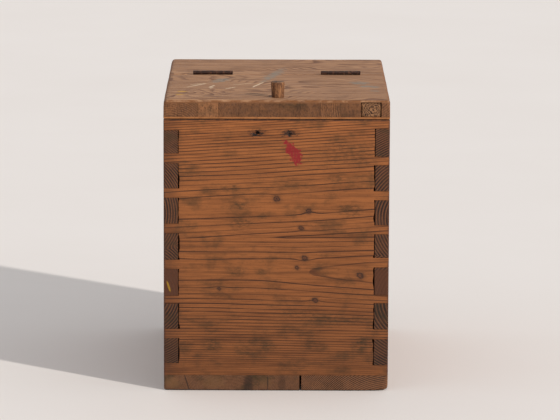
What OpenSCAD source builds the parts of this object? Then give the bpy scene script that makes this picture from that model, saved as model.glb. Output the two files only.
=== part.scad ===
// Wooden storage box with finger-jointed corners and a half lid of blockboard.
// The rear part of the top is fixed; the front part swings up on two butt hinges.
// Origin: middle of the bottom face. The front looks along -Y, X is to the right.

/* [Box] */
// Width over the side panels
box_w = 300; // [250:1:360]
// Depth from front to back
box_d = 400; // [320:1:480]
// Height from the floor to the top edge of the walls
wall_top = 368; // [300:1:440]
// Thickness of the wall boards
wall_t = 19; // [15:0.5:23]
// Thickness of the bottom boards, which lie under the walls
base_t = 21; // [17:0.5:26]
// Open slit between the two bottom boards
slit_w = 2.6; // [1:0.1:4]
// Sideways place of the slit, from the middle
slit_x = 32.7; // [-40:0.1:40]

/* [Corner joint] */
// Number of pins that each end of a side panel has
pins = 7; // [4:1:9]
// Height of one finger of the front and back panels, between two pins
finger_h = 12.4; // [9:0.1:20]
// Height of the finger above the top pin and below the bottom pin
end_finger_h = 15.2; // [8:0.1:20]
// Open shoulder line inside each pin
shoulder_gap = 1.2; // [0.2:0.1:1.5]
// Glue line above and below each pin
glue_gap = 0.15; // [0.05:0.05:0.4]

/* [Top board] */
// Thickness of the blockboard
board_t = 25; // [21:0.5:32]
// Thickness of each face veneer
veneer_t = 2.5; // [1.5:0.1:4]
// Depth of the fixed rear part
rear_d = 158; // [110:1:200]
// Gap of the seam between the lid and the rear part
seam_gap = 1; // [0.5:0.1:2]
// Height at which the closed lid stands over the walls
lid_gap = 0.6; // [0.2:0.1:1]
// Radius of the rear corners, seen from above
rear_corner_r = 4.5; // [2:0.5:10]
// Radius of the front corners of the lid, seen from above
front_corner_r = 1.5; // [0.5:0.5:6]
// Width of a whole core strip
strip_w = 27; // [18:0.5:35]
// Sideways place of the joint between two core strips near the middle
strip_joint_x = 3.5; // [-10:0.5:10]
// Number of the whole strip, counted to the right, that has come loose in the lid
loose_strip = 4; // [2:1:4]
// Room round the loose strip
loose_gap = 1.2; // [0.3:0.1:1.5]
// Glue line between two core strips
strip_gap = 0.1; // [0.05:0.05:0.3]

/* [Hinges] */
// Length of a hinge
hinge_l = 55; // [40:1:70]
// Distance from the side of the box to the hinge
hinge_inset = 34; // [20:1:50]
// Height of a leaf, from its lower edge to the top of the board
leaf_h = 20; // [15:0.5:20]
// Thickness of a leaf
leaf_t = 1.5; // [1:0.1:2]
// Gap between the two closed leaves
leaf_gap = 0.2; // [0.1:0.05:0.4]
// Outer diameter of the knuckles
knuckle_d = 5.6; // [5:0.1:7]
// Height of the hinge axis over the rear top
axis_rise = 2.8; // [2.6:0.1:4]
// Number of knuckles on a hinge
knuckles = 5; // [3:2:7]
// Side play between neighbouring knuckles
knuckle_play = 0.2; // [0.1:0.05:0.5]
// Diameter of the hinge pin
hinge_pin_d = 2.5; // [2:0.1:3]
// Running clearance of the pin, on the diameter
pin_play = 0.12; // [0.04:0.02:0.2]
// Room round the knuckles and leaves in the wood
mortise_gap = 0.3; // [0.1:0.1:0.6]

/* [Screws and nails] */
// Screws in one leaf
screws = 3; // [2:1:4]
// Diameter of a screw shank
screw_d = 3.2; // [2.5:0.1:4]
// Diameter of a screw head
screw_head_d = 6; // [5:0.1:8]
// Length of a screw
screw_l = 18; // [12:1:25]
// Room round a screw or nail
fastener_gap = 0.05; // [0.02:0.01:0.1]
// Diameter of a bottom nail
nail_d = 2.6; // [2:0.1:3.5]
// Diameter of a nail head
nail_head_d = 5.5; // [4.5:0.1:7]
// Thickness of a nail head
nail_head_t = 1; // [0.8:0.1:1.5]
// Length of a bottom nail
nail_l = 52; // [40:1:65]
// Diameter of the two old nail holes in the front
old_hole_d = 3; // [2:0.5:5]
// Depth of the old nail holes
old_hole_depth = 9; // [4:0.5:12]

/* [Knob] */
// Diameter of the knob at its top
knob_top_d = 18.5; // [12:0.5:24]
// Diameter of the knob at its foot
knob_foot_d = 16.5; // [11:0.5:22]
// Height of the knob over the lid
knob_h = 21; // [15:0.5:30]
// Distance from the front edge to the middle of the knob
knob_inset = 29; // [20:1:60]
// Sideways place of the knob, from the middle
knob_x = 1.5; // [-40:0.5:40]
// Diameter of the tenon glued into the lid
tenon_d = 10; // [6:0.5:14]
// Length of the tenon
tenon_l = 16; // [10:0.5:18]

/* [Hidden] */
$fn = 48;
cut = 1;                       // how far a cut runs past the face it opens
front_y = -box_d / 2;
back_y = box_d / 2;
side_x = box_w / 2;
wall_h = wall_top - base_t;
pin_h = (wall_h - 2 * end_finger_h - (pins - 1) * finger_h) / pins;
pin_pitch = pin_h + finger_h;
seam_y = back_y - rear_d;
rear_top_z = wall_top + board_t;
lid_z = wall_top + lid_gap;
lid_top_z = lid_z + board_t;
core_t = board_t - 2 * veneer_t;
axis_z = rear_top_z + axis_rise;
knuckle_r = knuckle_d / 2;
hinge_x = side_x - hinge_inset - hinge_l / 2;
knuckle_l = hinge_l / knuckles;
leaf_foot_z = rear_top_z - leaf_h;
screw_z = rear_top_z - 0.6 * leaf_h;
strip_count = ceil(side_x / strip_w) + 1;
knob_y = front_y + knob_inset;

// How far the lower and the upper cut of each pin stray from even spacing,
// because the joint was cut by hand. The list is read from the bottom up.
stray_a = [[1, 1], [1, 1], [-1, 1], [1, 2.5], [3, 3.5], [3.5, 3], [3.5, 0]];
stray_b = [[-1, 0], [1, 2.5], [1, 4], [4.5, 2], [1.5, 1], [0.5, 1], [0, 3]];

// End nails of each bottom board, as shares of the board's free width
left_board_nails = [0.2, 0.5, 0.8];
right_board_nails = [0.3, 0.75];
// Nails into each side panel, as shares of the inside depth
side_nails = [0.06, 0.28, 0.5, 0.72, 0.94];
// The old nail holes: sideways place, and depth under the top edge of the front
old_holes = [[-26, 18.5], [17.5, 18.5]];

// ---- helpers ----

// A box given by its lowest corner and its highest corner
module block(low, high) translate(low) cube(high - low);

// A cylinder that lies along X, centred at x on the hinge axis
module along_x(x, length, d)
  translate([x - length / 2, seam_y, axis_z]) rotate([0, 90, 0]) cylinder(d = d, h = length);

function stray(list, i) = i < len(list) ? list[i] : [0, 0];
function pin_low(list, i) = base_t + end_finger_h + i * pin_pitch + stray(list, i)[0];
function pin_high(list, i) = base_t + end_finger_h + i * pin_pitch + pin_h + stray(list, i)[1];

// Sockets in the right end of an upright panel whose outer face is at y,
// with room grow above and below, and shoulder deeper than the pin
module pin_blocks(y_low, y_high, list, grow, shoulder)
  for (i = [0 : pins - 1])
    block([side_x - wall_t - shoulder, y_low, pin_low(list, i) - grow],
          [side_x + cut, y_high, pin_high(list, i) + grow]);

// ---- walls ----

// Front or back panel: the full width, with sockets for the side panels' pins
module end_panel(y_low, left_list, right_list) difference() {
  block([-side_x, y_low, base_t], [side_x, y_low + wall_t, wall_top]);
  pin_blocks(y_low - cut, y_low + wall_t + cut, right_list, 0, shoulder_gap);
  mirror([1, 0, 0])
    pin_blocks(y_low - cut, y_low + wall_t + cut, left_list, 0, shoulder_gap);
  nails(fastener_gap);
}

// Side panel on the right: its body stands between the end panels, its pins reach out
module side_panel(front_list, back_list) difference() {
  intersection() {
    union() {
      block([side_x - wall_t, front_y + wall_t, base_t], [side_x, back_y - wall_t, wall_top]);
      pin_blocks(front_y, front_y + wall_t + cut, front_list, -glue_gap, 0);
      pin_blocks(back_y - wall_t - cut, back_y, back_list, -glue_gap, 0);
    }
    block([0, front_y, base_t], [side_x, back_y, wall_top]);
  }
  nails(fastener_gap);
}

module front_panel() color("peru") difference() {
  end_panel(front_y, stray_a, stray_b);
  for (hole = old_holes)
    translate([hole[0], front_y - cut, wall_top - hole[1]])
      rotate([-90, 0, 0]) cylinder(d = old_hole_d, h = old_hole_depth + cut);
}
module back_panel() color("peru") end_panel(back_y - wall_t, stray_b, stray_a);
module left_side() color("burlywood") mirror([1, 0, 0]) side_panel(stray_a, stray_b);
module right_side() color("burlywood") side_panel(stray_b, stray_a);

// ---- bottom ----

function share(low, high, part) = low + (high - low) * part;
inner_x = side_x - wall_t;
inner_y = back_y - wall_t;
nail_places = concat(
  [for (s = [-1, 1], y = side_nails) [s * (side_x - wall_t / 2), share(-inner_y, inner_y, y)]],
  [for (s = [-1, 1], x = left_board_nails)
    [share(-inner_x, slit_x, x), s * (back_y - wall_t / 2)]],
  [for (s = [-1, 1], x = right_board_nails)
    [share(slit_x, inner_x, x), s * (back_y - wall_t / 2)]]);

// One nail that points up, with its head flush in the bottom face
module nail(room) {
  translate([0, 0, room > 0 ? -cut : 0])
    cylinder(d = nail_head_d + 2 * room, h = nail_head_t + (room > 0 ? cut : 0));
  cylinder(d = nail_d + 2 * room, h = nail_l + room);
}
module nails(room) for (place = nail_places) translate(place) nail(room);

module bottom_board(x_low, x_high) color("tan") difference() {
  block([x_low, front_y, 0], [x_high, back_y, base_t]);
  nails(fastener_gap);
}
module bottom_board_left() bottom_board(-side_x, slit_x - slit_w / 2);
module bottom_board_right() bottom_board(slit_x + slit_w / 2, side_x);
module bottom_nails() color("dimgray") nails(0);

// ---- blockboard top ----

// Plan of a top piece, from y_low to y_high, with its two outer corners rounded
module top_plan(y_low, y_high, r, round_back) {
  flat_low = round_back ? y_low : y_low + r;
  flat_high = round_back ? y_high - r : y_high;
  corner_y = round_back ? y_high - r : y_low + r;
  translate([-side_x, flat_low]) square([box_w, flat_high - flat_low]);
  translate([-side_x + r, y_low]) square([box_w - 2 * r, y_high - y_low]);
  for (s = [-1, 1]) translate([s * (side_x - r), corner_y]) circle(r);
}
module rear_plan() top_plan(seam_y + seam_gap / 2, back_y, rear_corner_r, true);
module lid_plan() top_plan(front_y, seam_y - seam_gap / 2, front_corner_r, false);

// Pockets for the leaves and room for the knuckles, on both sides of the seam
module hinge_pockets(side) for (s = [-1, 1]) {
  block([s * hinge_x - hinge_l / 2 - mortise_gap,
         side > 0 ? seam_y : seam_y - leaf_gap / 2 - leaf_t, leaf_foot_z - mortise_gap],
        [s * hinge_x + hinge_l / 2 + mortise_gap,
         side > 0 ? seam_y + leaf_gap / 2 + leaf_t : seam_y, lid_top_z + cut]);
  along_x(s * hinge_x, hinge_l + 2 * mortise_gap, knuckle_d + 2 * mortise_gap);
  translate([s * hinge_x, 0, 0]) leaf_screws(side, fastener_gap);
}

// Core strips from side to side, each a little narrower than its place
module strips(first, last, z_low) for (i = [first : last]) {
  x_low = max(-side_x - cut, strip_joint_x + i * strip_w + strip_gap / 2);
  x_high = min(side_x + cut, strip_joint_x + (i + 1) * strip_w - strip_gap / 2);
  if (x_high > x_low) block([x_low, front_y - cut, z_low], [x_high, back_y + cut, z_low + core_t]);
}

module rear_layer(z_low, t) difference() {
  translate([0, 0, z_low]) linear_extrude(t) rear_plan();
  hinge_pockets(1);
}
module rear_top_core() color("tan") intersection() {
  rear_layer(wall_top + veneer_t, core_t);
  strips(-strip_count, strip_count, wall_top + veneer_t);
}
module rear_top_face_veneer() color("sienna") rear_layer(rear_top_z - veneer_t, veneer_t);
module rear_top_back_veneer() color("wheat") rear_layer(wall_top, veneer_t);

module lid_layer(z_low, t) difference() {
  translate([0, 0, z_low]) linear_extrude(t) lid_plan();
  hinge_pockets(-1);
  translate([knob_x, knob_y, lid_top_z - tenon_l - fastener_gap])
    cylinder(d = tenon_d + 2 * fastener_gap, h = tenon_l + cut);
}
module lid_core() color("tan") intersection() {
  lid_layer(lid_z + veneer_t, core_t);
  union() {
    strips(-strip_count, loose_strip - 1, lid_z + veneer_t);
    strips(loose_strip + 1, strip_count, lid_z + veneer_t);
  }
}
// The loose strip still sticks to the lower veneer, and has slid back a little
module lid_loose_strip() color("burlywood") intersection() {
  lid_layer(lid_z + veneer_t, core_t);
  block([strip_joint_x + loose_strip * strip_w + loose_gap / 2, front_y + loose_gap, lid_z],
        [strip_joint_x + (loose_strip + 1) * strip_w - loose_gap, seam_y, lid_top_z - veneer_t - loose_gap]);
}
module lid_face_veneer() color("sienna") lid_layer(lid_top_z - veneer_t, veneer_t);
module lid_back_veneer() color("wheat") lid_layer(lid_z, veneer_t);

// ---- hinges ----

// One leaf: a plate in its pocket, with every second knuckle at its upper edge.
// side is 1 for the fixed leaf behind the seam and -1 for the moving one.
module leaf(s, side) color("dimgray") translate([s * hinge_x, 0, 0]) difference() {
  plate_low = side > 0 ? seam_y + leaf_gap / 2 : seam_y - leaf_gap / 2 - leaf_t;
  first = side > 0 ? 0 : 1;
  union() {
    block([-hinge_l / 2, plate_low, leaf_foot_z],
          [hinge_l / 2, plate_low + leaf_t, axis_z - knuckle_r - mortise_gap]);
    for (i = [first : 2 : knuckles - 1]) {
      x = (i + 0.5) * knuckle_l - hinge_l / 2;
      half = (knuckle_l - knuckle_play) / 2;
      block([x - half, plate_low, leaf_foot_z], [x + half, plate_low + leaf_t, axis_z]);
      along_x(x, 2 * half, knuckle_d);
    }
  }
  along_x(0, hinge_l + 2 * cut, hinge_pin_d + (side > 0 ? 0 : pin_play));
  leaf_screws(side, fastener_gap);
}

// The countersunk screws of one leaf, which point away from the seam.
// With room > 0 this is the hole that they need.
module leaf_screws(side, room) for (i = [0 : screws - 1])
  translate([(i + 0.5) * hinge_l / screws - hinge_l / 2, seam_y + side * leaf_gap / 2, screw_z])
    rotate([-90 * side, 0, 0]) screw(room);

module screw(room) {
  cone_h = (screw_head_d - screw_d) / 2;
  difference() {
    union() {
      cylinder(d1 = screw_head_d + 2 * room, d2 = screw_d + 2 * room, h = cone_h);
      cylinder(d = screw_d + 2 * room, h = screw_l + room);
      if (room > 0) translate([0, 0, -cut]) cylinder(d = screw_head_d + 2 * room, h = cut);
    }
    if (room == 0) translate([0, 0, 0.2]) cube([screw_head_d, 0.8, 1.2], center = true);
  }
}
module screw_set(s, side) color("gray") translate([s * hinge_x, 0, 0]) leaf_screws(side, 0);
module hinge_pin(s) color("gray") along_x(s * hinge_x, hinge_l, hinge_pin_d);

module left_hinge_fixed_leaf() leaf(-1, 1);
module left_hinge_moving_leaf() leaf(-1, -1);
module left_hinge_pin() hinge_pin(-1);
module left_hinge_fixed_screws() screw_set(-1, 1);
module left_hinge_moving_screws() screw_set(-1, -1);
module right_hinge_fixed_leaf() leaf(1, 1);
module right_hinge_moving_leaf() leaf(1, -1);
module right_hinge_pin() hinge_pin(1);
module right_hinge_fixed_screws() screw_set(1, 1);
module right_hinge_moving_screws() screw_set(1, -1);

// ---- knob ----

// A tapered peg, wider at the top, with a tenon that is glued into the lid
module knob() color("rosybrown") translate([knob_x, knob_y, lid_top_z]) {
  cylinder(d1 = knob_foot_d, d2 = knob_top_d, h = knob_h);
  translate([0, 0, -tenon_l]) cylinder(d = tenon_d, h = tenon_l + cut);
}

front_panel();
back_panel();
left_side();
right_side();
bottom_board_left();
bottom_board_right();
bottom_nails();
rear_top_core();
rear_top_face_veneer();
rear_top_back_veneer();
lid_core();
lid_loose_strip();
lid_face_veneer();
lid_back_veneer();
left_hinge_fixed_leaf();
left_hinge_moving_leaf();
left_hinge_pin();
left_hinge_fixed_screws();
left_hinge_moving_screws();
right_hinge_fixed_leaf();
right_hinge_moving_leaf();
right_hinge_pin();
right_hinge_fixed_screws();
right_hinge_moving_screws();
knob();
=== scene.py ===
# %% [markdown]
# # An old pine box with a half lid
# This lesson dresses a plain CAD model of a wooden box as the worn thing itself.
# The CAD model gives the place and size of every board, hinge and screw. Here each
# board becomes a piece of real timber: sawn from a log with year rings, sanded by
# hands at its arrises, stained, scratched and daubed with paint.

# %% The frame
import math
import bpy
import numpy as np
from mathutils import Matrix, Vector


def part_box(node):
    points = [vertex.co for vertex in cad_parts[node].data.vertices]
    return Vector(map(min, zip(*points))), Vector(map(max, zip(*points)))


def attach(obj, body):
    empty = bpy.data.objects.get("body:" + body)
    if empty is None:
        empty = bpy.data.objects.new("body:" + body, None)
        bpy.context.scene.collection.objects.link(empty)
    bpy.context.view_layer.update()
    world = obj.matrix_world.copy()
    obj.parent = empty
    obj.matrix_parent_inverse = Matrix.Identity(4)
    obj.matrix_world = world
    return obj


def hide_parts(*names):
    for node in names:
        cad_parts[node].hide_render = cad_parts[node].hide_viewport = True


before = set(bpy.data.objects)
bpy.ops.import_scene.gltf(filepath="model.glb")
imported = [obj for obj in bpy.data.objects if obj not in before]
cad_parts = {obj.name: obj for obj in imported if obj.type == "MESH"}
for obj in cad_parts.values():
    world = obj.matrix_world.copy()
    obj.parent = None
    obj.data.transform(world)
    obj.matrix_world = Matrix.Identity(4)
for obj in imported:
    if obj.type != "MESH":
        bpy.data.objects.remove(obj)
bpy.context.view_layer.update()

MM = 0.001


# %% [markdown]
# ## Where things are
# All places come from the CAD pieces. A board's cut lines can be read from the corners
# of its CAD mesh, so the timber here always has the joints of the design.

# %% Reading places from the CAD
def corners(node):
    """All corner points of a CAD node, as an array of rows x, y, z."""
    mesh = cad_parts[node].data
    flat = np.empty(len(mesh.vertices) * 3)
    mesh.vertices.foreach_get("co", flat)
    return flat.reshape(-1, 3)


def cut_heights(node, axis, place):
    """Pairs of lower and upper cuts: the different heights of the corners on one plane."""
    points = corners(node)
    on_plane = np.abs(points[:, axis] - place) < 0.05 * MM
    return np.unique(points[on_plane, 2].round(5)).reshape(-1, 2)


def limits(node):
    """A node's lowest and highest corner as two arrays."""
    low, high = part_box(node)
    return np.array(low), np.array(high)


side_low, side_high = limits("right_side")
front_low, front_high = limits("front_panel")
SIDE_X = side_high[0]
FRONT_Y, BACK_Y = side_low[1], side_high[1]
WALL = side_high[0] - side_low[0]
BASE_Z, WALL_Z = front_low[2], front_high[2]
rear_low, rear_high = limits("rear_top_core")
lid_low, lid_high = limits("lid_core")
lid_low[2] = limits("lid_back_veneer")[0][2]
lid_high[2] = limits("lid_face_veneer")[1][2]
rear_low[2] = limits("rear_top_back_veneer")[0][2]
rear_high[2] = limits("rear_top_face_veneer")[1][2]
SOCKET_X = np.unique(np.abs(corners("front_panel")[:, 0]).round(5))[-2]
print(f"walls {WALL / MM:.1f} mm, top of the walls {WALL_Z / MM:.1f} mm, lid top {lid_high[2] / MM:.1f} mm")


# %% [markdown]
# ## Boards as surfaces
# A jointed board is a stack of blocks. It could be drawn by hand or cut with booleans,
# but a boolean leaves long thin faces that can't be worn or bent. Here the outer surface
# of the blocks is laid out on one lattice instead, with close lines beside every edge.
# The lattice can then be rounded and dented like timber.

# %% A lattice surface round a union of blocks
BESIDE_EDGE = np.array([0.3, 0.8, 1.6, 2.8, 4.4]) * MM


def lattice_lines(edges, step, extra=()):
    """Places along one axis: every block limit, lines close beside it, and even steps between."""
    near = np.concatenate([edges[:, None] + BESIDE_EDGE, edges[:, None] - BESIDE_EDGE], axis=None)
    near = np.concatenate([near, np.asarray(extra, float)])
    near = near[(near > edges[0]) & (near < edges[-1])]
    clear = np.abs(near[:, None] - edges[None, :]).min(1) > 0.25 * MM
    lines = np.unique(np.concatenate([edges, near[clear]]).round(6))
    counts = np.ceil(np.diff(lines) / step).astype(int)
    spans = [np.linspace(a, b, n, endpoint=False) for a, b, n in zip(lines[:-1], lines[1:], counts)]
    return np.concatenate(spans + [lines[-1:]])


def inside_block(middles, block):
    """Which lattice cells lie in a block: the middle of the cell is between its limits on each axis."""
    hit = [(m > block[0][a]) & (m < block[1][a]) for a, m in enumerate(middles)]
    return hit[0][:, None, None] & hit[1][None, :, None] & hit[2][None, None, :]


def block_surface(blocks, step=4 * MM, holes=(), extra=((), (), ())):
    """Points, quads and facings of the outer surface of a union of blocks less some holes.

    A quad is made wherever a filled cell meets an empty one, and its corners run round it
    so that the facing points to the empty side."""
    every = np.array(list(blocks) + list(holes), float)
    low = np.array(blocks, float)[:, 0].min(0)
    high = np.array(blocks, float)[:, 1].max(0)
    steps = np.broadcast_to(step, 3)
    lines = []
    for a in range(3):
        edges = np.unique(np.clip(every[:, :, a], low[a], high[a]).round(6))
        lines.append(lattice_lines(edges, steps[a], extra[a]))
    middles = [(line[1:] + line[:-1]) / 2 for line in lines]
    filled = np.zeros([len(m) for m in middles], bool)
    for block in blocks:
        filled |= inside_block(middles, block)
    for hole in holes:
        filled &= ~inside_block(middles, hole)
    empty = ~np.pad(filled, 1)
    sizes = np.array([len(line) for line in lines])
    stride = np.array([sizes[1] * sizes[2], sizes[2], 1])
    quads, facings = [], []
    for a in range(3):
        across, up = np.eye(3, dtype=int)[(a + 1) % 3], np.eye(3, dtype=int)[(a + 2) % 3]
        for side in (0, 1):
            beside = [slice(1, -1)] * 3
            beside[a] = slice(2, None) if side else slice(0, -2)
            cell = np.argwhere(filled & empty[tuple(beside)])
            cell[:, a] += side
            ring = [cell, cell + across, cell + across + up, cell + up]
            quads.append(np.stack([r @ stride for r in (ring if side else ring[::-1])], 1))
            facing = np.zeros((len(cell), 3))
            facing[:, a] = 2 * side - 1
            facings.append(facing)
    used, quads = np.unique(np.concatenate(quads), return_inverse=True)
    quads = quads.reshape(-1, 4)
    index = np.unravel_index(used, sizes)
    points = np.stack([lines[a][index[a]] for a in range(3)], 1)
    return points, quads, np.concatenate(facings)


def point_facings(points, quads, facings):
    """The mean facing of the quads round each point."""
    total = np.zeros_like(points)
    np.add.at(total, quads.ravel(), np.repeat(facings, 4, axis=0))
    return total / np.maximum(np.linalg.norm(total, axis=1, keepdims=True), 1e-9)


# %% [markdown]
# ## Wear
# Hands and years round every arris, more at the top of the lid than low on the box. A
# bevel would give every edge the same radius. Instead each point is pulled onto a ball
# that rolls inside the block: points farther than one radius from the shrunken block move
# in to that radius. The radius may change from place to place.

# %% Rounding and slow random waves
def ripple(points, size, seed, waves=9):
    """A smooth random height: a sum of sines with random directions, `size` long along each axis."""
    random = np.random.default_rng(seed)
    turns = random.normal(size=(3, waves)) * 2 / np.asarray(size, float)[:, None]
    starts = random.uniform(0, 2 * math.pi, waves)
    return np.sin(points @ turns + starts).sum(1) / math.sqrt(waves / 2)


def rolled(points, blocks, radius):
    """Points after a ball of that radius has rolled round the inside of the blocks' arrises.

    For each point: the nearest spot of the blocks shrunk by the radius, plus the way from
    that spot to the point, cut to one radius at most."""
    radius = np.broadcast_to(np.asarray(radius, float), len(points))[:, None]
    best, best_spot, best_away = np.inf, 0.0, 0.0
    for low, high in blocks:
        low, high = np.asarray(low), np.asarray(high)
        shrink = np.minimum(radius, (high - low) * 0.48)
        spot = np.clip(points, low + shrink, high - shrink)
        away = points - spot
        length = np.linalg.norm(away, axis=1, keepdims=True)
        closer = length < best
        best = np.where(closer, length, best)
        best_spot = np.where(closer, spot, best_spot)
        best_away = np.where(closer, away, best_away)
    share = np.minimum(1, radius / np.maximum(best, 1e-9))
    return best_spot + best_away * share


def edge_nearness(points, block, reach):
    """1 on an arris of the block, falling to 0 at `reach` from it: the second smallest
    distance to the block's faces is the distance to its nearest arris."""
    low, high = block
    gaps = np.minimum(np.abs(points - low), np.abs(high - points))
    second = np.sort(gaps, axis=1)[:, 1]
    return np.clip(1 - second / reach, 0, 1)


BOX_BLOCK = (np.array([-SIDE_X, FRONT_Y, 0]), np.array([SIDE_X, BACK_Y, WALL_Z]))


def box_wear_radius(points):
    """Arris radius of the walls and bottom: small, uneven, and large at the chipped foot."""
    chip = np.exp(-(((points - [SIDE_X, FRONT_Y, 0]) / (11 * MM)) ** 2).sum(1))
    worn_foot = np.exp(-(((points - [-SIDE_X, FRONT_Y, 0]) / (14 * MM)) ** 2).sum(1))
    uneven = 0.35 * ripple(points, (30 * MM,) * 3, 5)
    return (1.3 + uneven.clip(-0.6, 0.9) + 6.5 * chip + 2.5 * worn_foot) * MM


def lid_wear_radius(points):
    """Arris radius of the top: large on its upper edge, most of all at the left."""
    high_up = np.clip((points[:, 2] - WALL_Z - 5 * MM) / (14 * MM), 0, 1)
    leftness = 0.5 - 0.5 * points[:, 0] / SIDE_X
    uneven = 0.4 * ripple(points, (45 * MM,) * 3, 8)
    return (0.7 + high_up * (2.6 + 2.4 * leftness + uneven)) * MM


# %% [markdown]
# ## Year rings
# Timber looks like timber because the same rings run through it in depth: lines along a
# face, arcs on the end. So each point of a board gets one number, how many rings it lies
# from the heart of its tree, worked out from its distance to the heart line. The number
# goes into the mesh as an attribute, and the material draws the rings from it.

# %% The growth of a board
# At this distance from a heart the rings are half as wide as the first one
TIGHTEN = 40 * MM
# The width of a year that counts as narrow
NARROW = 4.5 * MM
# How many rings the slow waves push the grain aside
WANDER = 0.13


def heart(a, b, ring, drift_a=0.0, drift_b=0.0, bend=0.0, tighten=TIGHTEN):
    """A heart line: its place on the two axes across the grain, its first ring's width, its
    drift for each metre of board, the drift's bend, and where its rings are half as wide."""
    return a, b, ring, drift_a, drift_b, bend, tighten


def along_grain(axis, across, along):
    """A wave or blotch size: `along` on the grain axis and `across` on the other two."""
    size = [across] * 3
    size[axis] = along
    return size


def growth(points, along, hearts, seed):
    """Rings between each point and the nearest heart line.

    A ring that is as far as tighten from the heart is half as wide as the first one, so
    the count is distance / ring * (1 + distance / (2 * tighten)). Slow waves bend it. The
    second result says how broad a year looks on an upright face: 0 where it is as narrow as
    NARROW, and 1 more for each further time that width."""
    across = [axis for axis in range(3) if axis != along]
    run = points[:, along]
    nearest = np.full(len(points), 1e9)
    count = np.zeros(len(points))
    broad = np.zeros(len(points))
    for a, b, ring, drift_a, drift_b, bend, tighten in hearts:
        off_a = points[:, across[0]] - a - drift_a * run - bend * run ** 2
        off_b = points[:, across[1]] - b - drift_b * run
        far = np.hypot(off_a, off_b)
        count = np.where(far < nearest, far / ring * (1 + far / (2 * tighten)), count)
        width = ring / (1 + far / tighten) * far / np.abs(off_b).clip(1 * MM)
        broad = np.where(far < nearest, width / NARROW - 1, broad)
        nearest = np.minimum(nearest, far)
    slow = ripple(points, along_grain(along, 45 * MM, 240 * MM), seed)
    fine = ripple(points, along_grain(along, 14 * MM, 70 * MM), seed + 1)
    count += WANDER * slow + 0.35 * WANDER * fine
    return count, broad.clip(0, 1.8)


def knot_bumps(points, knots, along, rings=0.3, reach=(11 * MM, 5.5 * MM)):
    """How many rings the grain is pushed aside round each knot: a smooth bump, long along the grain."""
    push = np.zeros(len(points))
    for x, z, size in knots:
        far = ((points[:, along] - x) / reach[0]) ** 2 + ((points[:, 2] - z) / reach[1]) ** 2
        push += rings * size / (4 * MM) * np.exp(-far)
    return push


# %% [markdown]
# ## Making the objects
# One function makes every wooden piece: it fills a mesh, stores the wood numbers, says which CAD
# body the piece rides on and hides the CAD nodes it replaces.

# %% From arrays to a piece
def store(mesh, name, values):
    """Keeps one number or one row of three for each point of a mesh."""
    kind = "FLOAT" if values.ndim == 1 else "FLOAT_VECTOR"
    field = "value" if values.ndim == 1 else "vector"
    attribute = mesh.attributes.new(name, kind, "POINT")
    attribute.data.foreach_set(field, np.ascontiguousarray(values, dtype=np.float32).ravel())


def add_object(name, data):
    """Puts an object with that mesh, light or camera into the scene."""
    thing = bpy.data.objects.new(name, data)
    bpy.context.scene.collection.objects.link(thing)
    return thing


def make_piece(name, points, quads, body, nodes, finish, fields=()):
    """A mesh object at the origin that rides on a body and hides the given CAD nodes in its place."""
    mesh = bpy.data.meshes.new(name)
    mesh.vertices.add(len(points))
    mesh.vertices.foreach_set("co", points.astype(np.float32).ravel())
    mesh.loops.add(quads.size)
    mesh.loops.foreach_set("vertex_index", quads.astype(np.int32).ravel())
    mesh.polygons.add(len(quads))
    mesh.polygons.foreach_set("loop_start", np.arange(0, quads.size, 4, dtype=np.int32))
    mesh.update(calc_edges=True)
    mesh.polygons.foreach_set("use_smooth", np.ones(len(quads), bool))
    for key, values in dict(fields).items():
        store(mesh, key, values)
    mesh.materials.append(finish)
    piece = add_object(name, mesh)
    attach(piece, body)
    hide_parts(*nodes)
    print(f"{name}: {len(points)} points, {len(quads)} quads")
    return piece


def timber(blocks, along, hearts, seed, worn_by, wear, step=4 * MM, holes=(),
           extra=((), (), ()), knots=(), tone=0.0, own_arris=0.35 * MM, shape=None):
    """Points, quads and wood numbers of one board.

    The board's own arrises are softened, then the wear of the whole box or lid is laid
    over it. The wood numbers are rings, how far the face looks along the grain, and wear.
    The board numbers are its shade and how broad a year looks on it."""
    points, quads, facings = block_surface(blocks, step, holes, extra)
    looks = point_facings(points, quads, facings)
    rings, broad = growth(points, along, hearts, seed)
    if len(knots):
        rings += knot_bumps(points, knots, along)
    worn = edge_nearness(points, worn_by, 9 * MM)
    uneven = 1 + 0.5 * ripple(points, (12 * MM,) * 3, seed + 3)
    points = rolled(points, blocks, own_arris * uneven.clip(0.3, 2))
    points = rolled(points, [worn_by], wear(points))
    if shape is not None:
        points = shape(points, looks)
    wood = np.stack([rings, np.abs(looks[:, along]), worn], 1)
    board = np.stack([np.full(len(points), tone), broad, 0 * broad], 1)
    return points, quads, wood, board


def joined(parts):
    """Several boards as one set of arrays, each board's point numbers moved past the last."""
    shift = np.cumsum([0] + [len(part[0]) for part in parts[:-1]])
    quads = np.concatenate([part[1] + s for part, s in zip(parts, shift)])
    points, wood, board = (np.concatenate([part[i] for part in parts]) for i in (0, 2, 3))
    return points, quads, wood, board


def wooden(name, parts, body, nodes, finish):
    """Makes one piece of one or more boards."""
    points, quads, wood, board = joined(parts)
    return make_piece(name, points, quads, body, nodes, finish, {"wood": wood, "board": board})


# %% [markdown]
# ## Finishes
# Every finish is a small graph of shader nodes. The helper below adds one node at a time
# and hands back its output, so a material reads like a recipe.

# %% A helper for node recipes
def tint(red, green, blue):
    """A colour given as it looks on a screen, from 0 to 255, as the linear values that shaders use."""
    share = np.array([red, green, blue]) / 255
    linear = np.where(share <= 0.04045, share / 12.92, ((share + 0.055) / 1.055) ** 2.4)
    return (*linear.tolist(), 1.0)


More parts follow.
